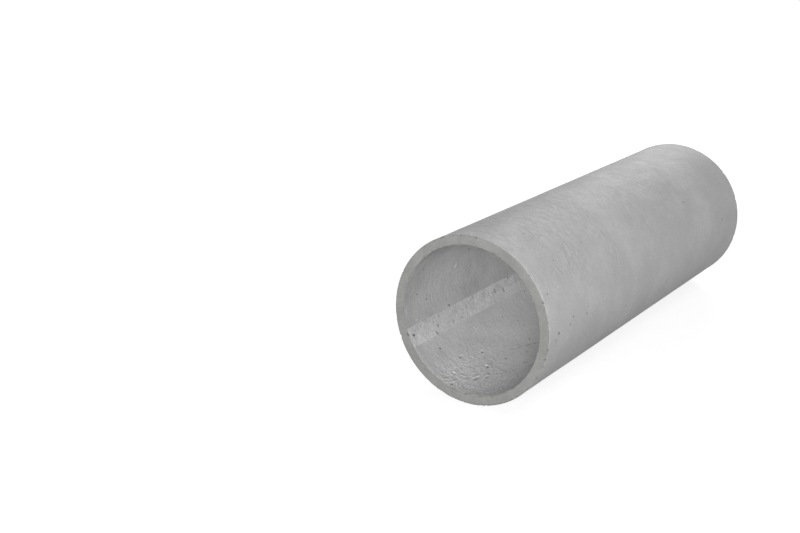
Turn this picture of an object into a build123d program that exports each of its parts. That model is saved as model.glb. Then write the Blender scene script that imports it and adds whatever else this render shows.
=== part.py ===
"""Plain-ended concrete sewer pipe, lying on its side.

Millimetres, +Z up. The barrel runs along X. The origin is the middle of the line that the pipe rests on.
The pipe is cast in one pour, so it is one solid: a wall section with rounded rims, turned about the bore.
"""

import os

from build123d import *

# Driving dimensions
LENGTH = 1000.0  # from end face to end face
BORE_DIAMETER = 300.0  # clear waterway
WALL_THICKNESS = 20.0
OUTER_ARRIS_RADIUS = 2.5  # rounding of the outer rims, left by the mould's end rings
BORE_ARRIS_RADIUS = 1.5  # rounding of the bore's rims, left where the core is drawn out

# Sizes that follow from them
bore_radius = BORE_DIAMETER / 2
outer_radius = bore_radius + WALL_THICKNESS
mid_wall_radius = bore_radius + WALL_THICKNESS / 2

# The level plane through the barrel's centre line, one outer radius above the ground
centre_plane = Plane.XY.offset(outer_radius)
barrel_axis = Axis(centre_plane.origin, centre_plane.x_dir)


def wall_section() -> Sketch:
    """One side wall, as a level cut along the centre line shows it, with its four rims rounded."""
    with BuildSketch(centre_plane) as section:
        with Locations((0, mid_wall_radius)):
            Rectangle(LENGTH, WALL_THICKNESS)
        fillet(section.vertices().group_by(Axis.Y)[-1], OUTER_ARRIS_RADIUS)
        fillet(section.vertices().group_by(Axis.Y)[0], BORE_ARRIS_RADIUS)
    return section.sketch


def pipe_barrel() -> Part:
    """The whole pipe: the wall section turned once about the barrel's centre line."""
    with BuildPart() as barrel:
        revolve(wall_section(), axis=barrel_axis)
    return barrel.part


os.makedirs("parts", exist_ok=True)
export_step(pipe_barrel(), "parts/pipe_barrel.step")
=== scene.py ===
"""Dresses the plain-ended concrete sewer pipe: cast relief, three concrete faces and a plain studio.

Metres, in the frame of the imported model: the barrel runs along X and rests on the ground at z = 0.
The pipe is cast in one pour, so one closed mesh stands for the whole of it.
"""

import logging
import math
from dataclasses import dataclass
from enum import Enum
from typing import Any, Protocol

import bpy
import numpy as np
from mathutils import Matrix, Vector

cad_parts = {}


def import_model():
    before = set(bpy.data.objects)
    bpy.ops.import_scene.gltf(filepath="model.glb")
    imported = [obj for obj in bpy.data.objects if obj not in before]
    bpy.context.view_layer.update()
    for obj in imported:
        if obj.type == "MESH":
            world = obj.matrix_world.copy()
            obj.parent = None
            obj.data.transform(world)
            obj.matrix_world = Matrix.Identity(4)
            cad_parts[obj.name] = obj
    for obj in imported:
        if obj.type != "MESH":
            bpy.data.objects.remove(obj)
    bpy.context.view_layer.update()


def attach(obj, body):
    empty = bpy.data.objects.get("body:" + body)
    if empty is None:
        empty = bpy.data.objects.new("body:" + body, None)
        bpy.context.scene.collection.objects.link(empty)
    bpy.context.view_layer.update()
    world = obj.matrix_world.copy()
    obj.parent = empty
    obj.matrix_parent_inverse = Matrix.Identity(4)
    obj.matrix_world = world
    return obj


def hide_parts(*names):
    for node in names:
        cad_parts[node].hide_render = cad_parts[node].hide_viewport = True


LOG = logging.getLogger("concrete_pipe")
MM = 0.001
LENGTH = 1000 * MM
OUTER_RADIUS = 170 * MM  # and the height of the centre line, as the pipe lies on the ground
PIPE_NODE = "pipe_barrel"
# The face attribute that says how much painted shade a face carries, and that also tells chips from the
# rest
BREAK_SHADE_ATTRIBUTE = "broken"
# Painted shade in voids and chips: the share of a finish's void shade that a face takes
WHOLE = 0.0  # the attribute on faces with their skin on
SHADED_HOLLOW = 1.0  # the attribute on the faces of a void, which lie in the dark
CHIPPED = 0.25  # the attribute on the faces of a chip, which show the bare concrete
BAKE_MAP = "OFBake"
NOISE_SPAN = {"From Min": 0.3, "From Max": 0.7}  # nearly all of a noise pattern's values
CLUSTER_SPAN = {"From Min": 0.42, "From Max": 0.64}  # from between two clusters to inside one
LUMP_NOISE = {"Scale": 1.1, "Detail": 2.0}  # about two swells across a ball of radius 1
LUMP_KINDS = 4  # uneven balls to pick from where they are scattered

Socket = bpy.types.NodeSocket


def linear(colour: str) -> tuple[float, float, float, float]:
    """Turns an sRGB hex colour into the linear colour that a socket takes.

    Args:
        colour: a hash sign and six hex digits.

    Returns:
        Red, green, blue and an alpha of 1.
    """
    parts = [int(colour[i : i + 2], 16) / 255 for i in (1, 3, 5)]
    red, green, blue = (p / 12.92 if p <= 0.04045 else ((p + 0.055) / 1.055) ** 2.4 for p in parts)
    return red, green, blue, 1.0


class Shift(Enum):
    """Where each noise pattern is moved to, so that no two of them line up."""

    NONE = (0.0, 0.0, 0.0)
    STAINS = (3.1, 7.7, 1.9)
    SKIN = (5.2, 2.1, 6.6)
    SMEARS = (2.2, 9.1, 4.7)
    RUBBING = (1.3, 4.4, 8.2)
    CRUMBS = (8.8, 3.3, 0.7)


class Graph:
    """A node tree that is being built."""

    def __init__(self, tree: bpy.types.NodeTree) -> None:
        """Takes over a tree and empties it."""
        self.tree = tree
        tree.nodes.clear()

    def add(
        self, kind: str, inputs: dict[str | int, Any] | None = None, out: str | None = None, **settings: Any
    ) -> Socket | None:
        """Adds a node, sets its properties and fills its inputs.

        Args:
            kind: the node's type name.
            inputs: values by input name or number. A socket is linked, a list of sockets fills a
                multi-input, and anything else becomes the input's own value.
            out: the name of the output that is wanted, the first one in use if not given.
            settings: the node's properties.

        Returns:
            That output, or None if the node has none.
        """
        node = self.tree.nodes.new(kind)
        for name, value in settings.items():
            setattr(node, name, value)
        for key, value in (inputs or {}).items():
            named = [s for s in node.inputs if s.name == key and s.enabled]
            socket = node.inputs[key] if isinstance(key, int) else named[0]
            for source in value if isinstance(value, list) else [value]:
                if isinstance(source, Socket):
                    self.tree.links.new(source, socket)
                else:
                    socket.default_value = source
        return next((s for s in node.outputs if s.enabled and out in (None, s.name)), None)

    def pattern(
        self,
        place: Socket,
        along: float,
        around: float,
        detail: float,
        roughness: float,
        shift: Shift = Shift.NONE,
        bent: float = 0.0,
    ) -> Socket:
        """Draws a noise pattern of a given real size.

        Args:
            place: the place in the pipe's frame.
            along: the size of its features along the pipe.
            around: their size round the pipe and across its ends.
            detail: how many finer octaves follow.
            roughness: how strong each finer octave is.
            shift: where the pattern is moved to.
            bent: how far the pattern is bent by itself, which breaks up long lines.

        Returns:
            The pattern's factor.
        """
        scale = (1 / along, 1 / around, 1 / around)
        spread = self.add("ShaderNodeMapping", {"Vector": place, "Scale": scale, "Location": shift.value})
        settings = {"Scale": 1.0, "Detail": detail, "Roughness": roughness, "Distortion": bent}
        return self.add("ShaderNodeTexNoise", {"Vector": spread, **settings}, "Fac")


class CastFace(Enum):
    """What a stretch of the surface was cast against. The value is its material's place in the list."""

    MOULD = 0
    CORE = 1
    END_RING = 2


@dataclass(frozen=True)
class KeyStrip:
    """The narrow strip that the core's folding key piece leaves along the bore.

    It lies between two straight joints. Angles go from the top of the pipe towards +Y.
    """

    axis_height: float = OUTER_RADIUS
    start: float = math.radians(107.2)
    end: float = math.radians(122.6)
    fade: float = math.radians(0.35)

    @property
    def middle(self) -> float:
        """The angle of the strip's middle line."""
        return (self.start + self.end) / 2

    def mask(self, graph: Graph, place: Socket) -> Socket:
        """Marks the strip.

        Args:
            graph: the tree, of a shader or of a form.
            place: the place in the pipe's frame.

        Returns:
            One on the strip and nought beside it.
        """
        across = graph.add("ShaderNodeSeparateXYZ", {"Vector": place}, "Y")
        height = graph.add("ShaderNodeSeparateXYZ", {"Vector": place}, "Z")
        rise = graph.add("ShaderNodeMath", {0: height, 1: self.axis_height}, operation="SUBTRACT")
        angle = graph.add("ShaderNodeMath", {0: across, 1: rise}, operation="ARCTAN2")
        half = (self.end - self.start) / 2
        off = graph.add("ShaderNodeMath", {0: angle, 1: self.middle}, operation="SUBTRACT")
        away = graph.add("ShaderNodeMath", {0: off}, operation="ABSOLUTE")
        ends = {"From Min": half + self.fade, "From Max": half - self.fade}
        return graph.add("ShaderNodeMapRange", {"Value": away, **ends}, interpolation_type="SMOOTHSTEP")

    def above(self, graph: Graph, place: Socket) -> Socket:
        """Measures from the plane through the strip's middle line and the centre line.

        Args:
            graph: the material's tree.
            place: Object coordinates.

        Returns:
            How far the place lies above that plane, in metres.
        """
        across = graph.add("ShaderNodeSeparateXYZ", {"Vector": place}, "Y")
        height = graph.add("ShaderNodeSeparateXYZ", {"Vector": place}, "Z")
        rise = graph.add("ShaderNodeMath", {0: height, 1: self.axis_height}, operation="SUBTRACT")
        up, sideways = math.sin(self.middle), -math.cos(self.middle)
        turned_rise = graph.add("ShaderNodeMath", {0: rise, 1: up}, operation="MULTIPLY")
        turned_across = graph.add("ShaderNodeMath", {0: across, 1: sideways}, operation="MULTIPLY")
        return graph.add("ShaderNodeMath", {0: turned_rise, 1: turned_across}, operation="ADD")


@dataclass(frozen=True)
class CoreSkin:
    """What a folding core leaves in the bore.

    A pale, smeared key strip, duller skin above it, and crumbs on the torn bottom near the two ends.
    Painted light brightens the skin again towards the top of the bore and makes the torn bottom paler;
    painted shade darkens the bore near the two mouths.
    """

    strip: KeyStrip = KeyStrip()
    strip_colour: str = "#DBDBDB"
    strip_coat: tuple[float, float] = (0.35, 0.8)
    strip_edge: float = 0.2 * MM
    strip_rubbing: float = 0.5
    strip_crumbs: float = 0.35
    smear_along: float = 30 * MM
    smear_around: float = 14 * MM
    smear_span: tuple[float, float] = (0.35, 0.65)
    joint_fade: float = 1 * MM
    # Painted light: from upper_rise up, the duller skin above the strip brightens again towards the top of
    # the bore
    upper_rise: tuple[float, float] = (35 * MM, 125 * MM)
    upper_dull_and_lit: tuple[float, float] = (0.8, 1.02)
    # Painted shade: the bore darkens towards the two mouths
    mouth: tuple[float, float] = (370 * MM, 490 * MM)
    mouth_painted_shade: float = 0.92
    torn_height: tuple[float, float] = (62 * MM, 30 * MM)
    torn_off: tuple[float, float] = (260 * MM, 430 * MM)
    torn_least: float = 0.3
    # Painted light: the torn bottom by the two ends is painted paler, as if lit
    torn_and_lit_colour: str = "#DEDEDD"
    torn_and_lit_share: float = 0.7
    crumb_along: float = 12 * MM
    crumb_around: float = 6 * MM
    crumb_height: float = 1.1 * MM
    crumb_span: tuple[float, float] = (0.42, 0.7)
    crumb_middle: float = 0.4

    def colour(self, graph: Graph, place: Socket, skin: Socket) -> Socket:
        """Sets the core's parts off: the pale key strip, the duller skin above it with its painted light,
        the painted shade by the mouths and the torn bottom, painted paler as if lit.

        Args:
            graph: the material's tree.
            place: Object coordinates.
            skin: the colour so far.

        Returns:
            The colour with the parts told apart.
        """
        # The core's tone, with the painted light above the strip and the painted shade by the mouths
        duller = graph.add(
            "ShaderNodeMix",
            {"Factor": 1.0, "A": skin, "B": self.shade(graph, place)},
            data_type="RGBA",
            blend_type="MULTIPLY",
        )
        along, around = self.smear_along, self.smear_around
        smears = graph.pattern(place, along, around, detail=2.0, roughness=0.5, shift=Shift.SMEARS)
        low, high = self.smear_span
        thin, thick = self.strip_coat
        coat = graph.add(
            "ShaderNodeMapRange",
            {"Value": smears, "From Min": low, "From Max": high, "To Min": thin, "To Max": thick},
        )
        on_strip = self.strip.mask(graph, place)
        share = graph.add("ShaderNodeMath", {0: on_strip, 1: coat}, operation="MULTIPLY")
        keyed = graph.add(
            "ShaderNodeMix",
            {"Factor": share, "A": duller, "B": linear(self.strip_colour)},
            data_type="RGBA",
        )
        # Painted light: the torn bottom turns paler towards the two ends
        torn = graph.add(
            "ShaderNodeMath", {0: self.torn(graph, place), 1: self.torn_and_lit_share}, operation="MULTIPLY"
        )
        return graph.add(
            "ShaderNodeMix", {"Factor": torn, "A": keyed, "B": linear(self.torn_and_lit_colour)}, data_type="RGBA"
        )

    def shade(self, graph: Graph, place: Socket) -> Socket:
        """Says how dull the skin is above the strip, with painted light that brightens it again towards the
        top, and paints shade near the two mouths.

        Args:
            graph: the material's tree.
            place: Object coordinates.

        Returns:
            What the colour is multiplied by.
        """
        above = self.strip.above(graph, place)
        ends = {"From Min": -self.joint_fade, "From Max": self.joint_fade}
        upper = graph.add("ShaderNodeMapRange", {"Value": above, **ends})
        # Painted light: the dull skin brightens again towards the top of the bore
        low, high = self.upper_rise
        first, last = self.upper_dull_and_lit
        dull = graph.add(
            "ShaderNodeMapRange",
            {"Value": above, "From Min": low, "From Max": high, "To Min": first, "To Max": last},
        )
        shade = graph.add("ShaderNodeMix", {"Factor": upper, "A": 1.0, "B": dull}, data_type="FLOAT")
        along = graph.add("ShaderNodeSeparateXYZ", {"Vector": place}, "X")
        off = graph.add("ShaderNodeMath", {0: along}, operation="ABSOLUTE")
        # Painted shade: darker towards the two mouths
        deep, outer = self.mouth
        mouth = graph.add(
            "ShaderNodeMapRange",
            {"Value": off, "From Min": deep, "From Max": outer, "To Min": 1.0, "To Max": self.mouth_painted_shade},
        )
        return graph.add("ShaderNodeMath", {0: shade, 1: mouth}, operation="MULTIPLY")

    def torn(self, graph: Graph, place: Socket) -> Socket:
        """Marks the bore's bottom by the two ends, where the core tore the skin as it was drawn out. It
        places the crumbs there, and the paler colour that is painted light.

        Args:
            graph: the material's tree.
            place: Object coordinates.

        Returns:
            One there, and less further in and higher up.
        """
        height = graph.add("ShaderNodeSeparateXYZ", {"Vector": place}, "Z")
        top, bottom = self.torn_height
        low = graph.add(
            "ShaderNodeMapRange",
            {"Value": height, "From Min": top, "From Max": bottom},
            interpolation_type="SMOOTHSTEP",
        )
        along = graph.add("ShaderNodeSeparateXYZ", {"Vector": place}, "X")
        off = graph.add("ShaderNodeMath", {0: along}, operation="ABSOLUTE")
        deep, outer = self.torn_off
        by_the_end = graph.add(
            "ShaderNodeMapRange",
            {"Value": off, "From Min": deep, "From Max": outer, "To Min": self.torn_least},
            interpolation_type="SMOOTHSTEP",
        )
        return graph.add("ShaderNodeMath", {0: low, 1: by_the_end}, operation="MULTIPLY")

    def crumbs(self, graph: Graph, place: Socket) -> Socket:
        """Strews crumbs of cement paste, drawn out along the pipe, over the strip and the bore's bottom.

        Args:
            graph: the material's tree.
            place: Object coordinates.

        Returns:
            The crumbs' height about nought.
        """
        on_strip = self.strip.mask(graph, place)
        fewer = graph.add("ShaderNodeMath", {0: on_strip, 1: self.strip_crumbs}, operation="MULTIPLY")
        where = graph.add("ShaderNodeMath", {0: self.torn(graph, place), 1: fewer}, operation="MAXIMUM")
        along, around = self.crumb_along, self.crumb_around
        drops = graph.pattern(place, along, around, detail=3.0, roughness=0.6, shift=Shift.CRUMBS, bent=0.3)
        low, high = self.crumb_span
        heap = graph.add(
            "ShaderNodeMapRange",
            {"Value": drops, "From Min": low, "From Max": high},
            interpolation_type="SMOOTHSTEP",
        )
        centred = graph.add("ShaderNodeMath", {0: heap, 1: self.crumb_middle}, operation="SUBTRACT")
        return graph.add("ShaderNodeMath", {0: centred, 1: where}, operation="MULTIPLY")


@dataclass(frozen=True)
class ConcreteFinish:
    """Cast concrete as one kind of mould face leaves it.

    A cement skin with clouds, stains, rubbed wrinkles, sand and lime specks. The rubbing lies in soft
    patches, or sets in between two heights if these are given, and is then hardest by the near end. Where
    painted_wrinkle_light is set, the wrinkles' light and shade is also painted into the colour.
    """

    name: str
    pale: str
    dark: str
    stain: str
    stain_share: float
    speck: str
    # the painted shade in voids, and a quarter of it on chips
    void_shade: str
    cloud_size: float
    patch_size: float
    wrinkle_along: float
    wrinkle_around: float
    wrinkle_height: float
    skin_size: float
    skin_height: float
    grain_size: float
    grain_height: float
    grain_contrast: float
    roughness: tuple[float, float]
    gloss: float
    patch_share: float = 0.42
    tone_span: tuple[float, float] = (0.33, 0.67)
    stain_spread: float = 1.5
    stain_span: tuple[float, float] = (0.48, 0.68)
    speck_spacing: float = 30 * MM
    speck_span: tuple[float, float] = (0.12, 0.03)
    speck_strength: float = 0.5
    rub_size: float = 90 * MM
    rub_span: tuple[float, float] = (0.36, 0.62)
    rub_least: float = 0.55
    # how strongly the wrinkles' light and shade is painted into the colour; nought for none
    painted_wrinkle_light: float = 0.0
    rubbed_above: tuple[float, float] | None = None
    rub_ragged: float = 250 * MM
    rub_below: float = 0.12
    rub_far_end: float = 0.5
    core: CoreSkin | None = None

    def material(self) -> bpy.types.Material:
        """Builds the finish as a node material that reads Object coordinates.

        Returns:
            The new material.
        """
        made = bpy.data.materials.new(self.name)
        made.use_nodes = True
        graph = Graph(made.node_tree)
        place = graph.add("ShaderNodeTexCoord", out="Object")
        patches = graph.pattern(place, self.patch_size, self.patch_size, detail=5.0, roughness=0.6)
        grain = graph.pattern(place, self.grain_size, self.grain_size, detail=2.0, roughness=0.6)
        rubs = self.rubs(graph, place)
        low, high = self.roughness
        rough = {"Value": patches, **NOISE_SPAN, "To Min": low, "To Max": high}
        shader = graph.add(
            "ShaderNodeBsdfPrincipled",
            {
                "Base Color": self.colour(graph, place, patches, grain, rubs),
                "Roughness": graph.add("ShaderNodeMapRange", rough),
                "Normal": self.relief(graph, place, grain, rubs),
                "Specular IOR Level": self.gloss,
            },
        )
        graph.add("ShaderNodeOutputMaterial", {"Surface": shader})
        return made

    def colour(self, graph: Graph, place: Socket, patches: Socket, grain: Socket, rubs: Socket) -> Socket:
        """Mixes the skin's colour out of clouds, stains, sand and specks, with painted light and shade
        along the wrinkles where the finish asks for it, and painted shade in voids and chips.

        Args:
            graph: the material's tree.
            place: Object coordinates.
            patches: the middle-sized noise.
            grain: the fine noise.
            rubs: the rubbed wrinkles.

        Returns:
            The colour.
        """
        skin = self.clouds(graph, place, patches)
        if self.core:
            skin = self.core.colour(graph, place, skin)
        skin = self.stains(graph, place, skin)
        low, high = 1 - self.grain_contrast, 1 + self.grain_contrast
        sand = {"Value": grain, **NOISE_SPAN, "To Min": low, "To Max": high}
        shades = [graph.add("ShaderNodeMapRange", sand)]
        # Painted light and shade: the colour turns paler and darker along the rubbed wrinkles
        if self.painted_wrinkle_light:
            wrinkle_light_and_shade = {0: rubs, 1: self.painted_wrinkle_light, 2: 1.0}
            shades.append(graph.add("ShaderNodeMath", wrinkle_light_and_shade, operation="MULTIPLY_ADD"))
        for shade in shades:
            skin = graph.add(
                "ShaderNodeMix",
                {"Factor": 1.0, "A": skin, "B": shade},
                data_type="RGBA",
                blend_type="MULTIPLY",
            )
        specks = self.specks(graph, place)
        skin = graph.add(
            "ShaderNodeMix", {"Factor": specks, "A": skin, "B": linear(self.speck)}, data_type="RGBA"
        )
        # Painted shade: void faces take the whole void shade, chip faces a quarter of it
        broken = graph.add("ShaderNodeAttribute", None, "Fac", attribute_name=BREAK_SHADE_ATTRIBUTE)
        return graph.add(
            "ShaderNodeMix", {"Factor": broken, "A": skin, "B": linear(self.void_shade)}, data_type="RGBA"
        )

    def clouds(self, graph: Graph, place: Socket, patches: Socket) -> Socket:
        """Clouds the skin between its dark and its pale grey.

        Args:
            graph: the material's tree.
            place: Object coordinates.
            patches: the middle-sized noise.

        Returns:
            The colour.
        """
        wide = graph.pattern(place, self.cloud_size, self.cloud_size, detail=4.0, roughness=0.55)
        both = graph.add(
            "ShaderNodeMix", {"Factor": self.patch_share, "A": wide, "B": patches}, data_type="FLOAT"
        )
        low, high = self.tone_span
        tone = graph.add(
            "ShaderNodeMapRange",
            {"Value": both, "From Min": low, "From Max": high},
            interpolation_type="SMOOTHSTEP",
        )
        return graph.add(
            "ShaderNodeMix",
            {"Factor": tone, "A": linear(self.dark), "B": linear(self.pale)},
            data_type="RGBA",
        )

    def stains(self, graph: Graph, place: Socket, skin: Socket) -> Socket:
        """Lays wide, faint stains over the skin.

        Args:
            graph: the material's tree.
            place: Object coordinates.
            skin: the colour so far.

        Returns:
            The stained colour.
        """
        size = self.stain_spread * self.cloud_size
        wide = graph.pattern(place, size, size, detail=3.0, roughness=0.5, shift=Shift.STAINS)
        low, high = self.stain_span
        stained = graph.add(
            "ShaderNodeMapRange",
            {"Value": wide, "From Min": low, "From Max": high, "To Max": self.stain_share},
            interpolation_type="SMOOTHSTEP",
        )
        return graph.add(
            "ShaderNodeMix", {"Factor": stained, "A": skin, "B": linear(self.stain)}, data_type="RGBA"
        )

    def specks(self, graph: Graph, place: Socket) -> Socket:
        """Scatters pale lime specks a few millimetres across.

        Args:
            graph: the material's tree.
            place: Object coordinates.

        Returns:
            The specks' share, and nought between them.
        """
        cells = {"Vector": place, "Scale": 1 / self.speck_spacing}
        near = graph.add("ShaderNodeTexVoronoi", cells, "Distance")
        rim, middle = self.speck_span
        return graph.add(
            "ShaderNodeMapRange",
            {"Value": near, "From Min": rim, "From Max": middle, "To Max": self.speck_strength},
            interpolation_type="SMOOTHSTEP",
        )

    def relief(self, graph: Graph, place: Socket, grain: Socket, rubs: Socket) -> Socket:
        """Bends the light over wrinkles rubbed round the pipe, a pitted skin, sand grain and paste crumbs.

        Args:
            graph: the material's tree.
            place: Object coordinates.
            grain: the fine noise.
            rubs: the rubbed wrinkles.

        Returns:
            The bent normal.
        """
        size = self.skin_size
        pits = graph.pattern(place, size, size, detail=2.0, roughness=0.6, shift=Shift.SKIN)
        layers = [(self.skin_height, pits), (self.grain_height, grain)]
        if self.core:
            layers.append((self.core.strip_edge, self.core.strip.mask(graph, place)))
            layers.append((self.core.crumb_height, self.core.crumbs(graph, place)))
        normal = graph.add("ShaderNodeBump", {"Distance": self.wrinkle_height, "Height": rubs})
        for height, shape in layers:
            normal = graph.add("ShaderNodeBump", {"Distance": height, "Height": shape, "Normal": normal})
        return normal

    def rubs(self, graph: Graph, place: Socket) -> Socket:
        """Draws the wrinkles that rubbing round the pipe leaves.

        Args:
            graph: the material's tree.
            place: Object coordinates.

        Returns:
            Their height about nought.
        """
        along, around = self.wrinkle_along, self.wrinkle_around
        wrinkles = graph.pattern(place, along, around, detail=2.0, roughness=0.6, bent=0.8)
        centred = graph.add("ShaderNodeMath", {0: wrinkles, 1: 0.5}, operation="SUBTRACT")
        size = self.rub_size
        soft = graph.pattern(place, size, size, detail=2.0, roughness=0.5, shift=Shift.RUBBING)
        rubbed = self.rubbed_top if self.rubbed_above else self.rubbed_patches
        share = rubbed(graph, place, soft)
        return graph.add("ShaderNodeMath", {0: centred, 1: share}, operation="MULTIPLY")

    def rubbed_top(self, graph: Graph, place: Socket, soft: Socket) -> Socket:
        """Says how hard the skin was rubbed towards the top, most by the near end.

        Args:
            graph: the material's tree.
            place: Object coordinates.
            soft: the noise that makes the lower edge ragged.

        Returns:
            The wrinkles' share, one where it was rubbed hardest.
        """
        height = graph.add("ShaderNodeSeparateXYZ", {"Vector": place}, "Z")
        edge = {0: soft, 1: self.rub_ragged, 2: height}
        ragged = graph.add("ShaderNodeMath", edge, operation="MULTIPLY_ADD")
        low, high = (level + self.rub_ragged / 2 for level in self.rubbed_above)
        upper = graph.add(
            "ShaderNodeMapRange",
            {"Value": ragged, "From Min": low, "From Max": high, "To Min": self.rub_below},
            interpolation_type="SMOOTHSTEP",
        )
        along = graph.add("ShaderNodeSeparateXYZ", {"Vector": place}, "X")
        ends = {"From Min": -LENGTH / 2, "From Max": LENGTH / 2, "To Min": 1.0, "To Max": self.rub_far_end}
        near = graph.add("ShaderNodeMapRange", {"Value": along, **ends})
        return graph.add("ShaderNodeMath", {0: upper, 1: near}, operation="MULTIPLY")

    def rubbed_patches(self, graph: Graph, place: Socket, soft: Socket) -> Socket:
        """Says how hard the skin was rubbed in soft patches, and harder on the key strip.

        Args:
            graph: the material's tree.
            place: Object coordinates.
            soft: the noise of the patches.

        Returns:
            The wrinkles' share, about one where it was rubbed hard.
        """
        low, high = self.rub_span
        patchy = graph.add(
            "ShaderNodeMapRange",
            {"Value": soft, "From Min": low, "From Max": high, "To Min": self.rub_least},
            interpolation_type="SMOOTHSTEP",
        )
        if not self.core:
            return patchy
        on_strip = self.core.strip.mask(graph, place)
        harder = {0: on_strip, 1: self.core.strip_rubbing, 2: patchy}
        return graph.add("ShaderNodeMath", harder, operation="MULTIPLY_ADD")


# Sand of 1 to 2 mm is too fine to show in the render, so its grain is drawn at 3 to 4 mm in all three.

# Steel mould against the outside: a smooth, pale cement skin with a dull sheen, softly clouded and rubbed
# on top, where the wrinkles' light and shade is also painted into the colour.
MOULD_CAST = ConcreteFinish(
    name="concrete_cast_against_steel_mould",
    pale="#BABABA",
    dark="#AAAAAA",
    stain="#AEAEAE",
    stain_share=0.6,
    speck="#D2D2D1",
    void_shade="#787876",
    cloud_size=160 * MM,
    patch_size=48 * MM,
    wrinkle_along=11 * MM,
    wrinkle_around=24 * MM,
    wrinkle_height=2.2 * MM,
    skin_size=10 * MM,
    skin_height=0.5 * MM,
    grain_size=4 * MM,
    grain_height=0.12 * MM,
    grain_contrast=0.06,
    roughness=(0.55, 0.66),
    gloss=0.1,
    painted_wrinkle_light=0.6,
    rubbed_above=(245 * MM, 325 * MM),
)
# Folding core drawn out of the bore: a dry matt skin, paler on the key strip, with dabs and drag marks, and
# with painted light above the strip and on the torn bottom and painted shade by the mouths.
CORE_CAST = ConcreteFinish(
    name="concrete_cast_against_folding_core",
    pale="#CFCFCF",
    dark="#BBBBBB",
    stain="#C4C4C3",
    stain_share=0.6,
    speck="#DCDCDB",
    void_shade="#7A7A78",
    cloud_size=120 * MM,
    patch_size=36 * MM,
    wrinkle_along=8 * MM,
    wrinkle_around=14 * MM,
    wrinkle_height=0.8 * MM,
    skin_size=9 * MM,
    skin_height=0.7 * MM,
    grain_size=4 * MM,
    grain_height=0.2 * MM,
    grain_contrast=0.08,
    roughness=(0.8, 0.92),
    gloss=0.1,
    core=CoreSkin(),
)
# End struck off level: no cement skin, so sand shows and the grey is warmer and darker.
STRUCK_END = ConcreteFinish(
    name="concrete_struck_off_end",
    pale="#8D8D8B",
    dark="#81817F",
    stain="#868683",
    stain_share=0.5,
    speck="#A3A3A0",
    void_shade="#5A5A58",
    cloud_size=70 * MM,
    patch_size=22 * MM,
    wrinkle_along=9 * MM,
    wrinkle_around=9 * MM,
    wrinkle_height=0.25 * MM,
    skin_size=5 * MM,
    skin_height=0.2 * MM,
    grain_size=3 * MM,
    grain_height=0.15 * MM,
    grain_contrast=0.09,
    roughness=(0.84, 0.94),
    gloss=0.1,
)


class Side(Enum):
    """One of the two round faces of the wall. The value is the way it looks, outwards or inwards."""

    OUTSIDE = 1
    BORE = -1


class End(Enum):
    """One of the two ends of the pipe. The value is its way along X."""

    NEAR = -1
    FAR = 1


class Draw(Enum):
    """What a random number is drawn for. The value moves the seed on."""

    RADIUS = 1
    STRETCH = 2
    DEPTH = 3
    SPIN = 4
    SHAPE = 5
    CHIP_REACH = 40
    CHIP_KEPT = 60
    CHIP_STRETCH = 70
    CHIP_TURN = 80
    CHIP_SHAPE = 90


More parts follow.
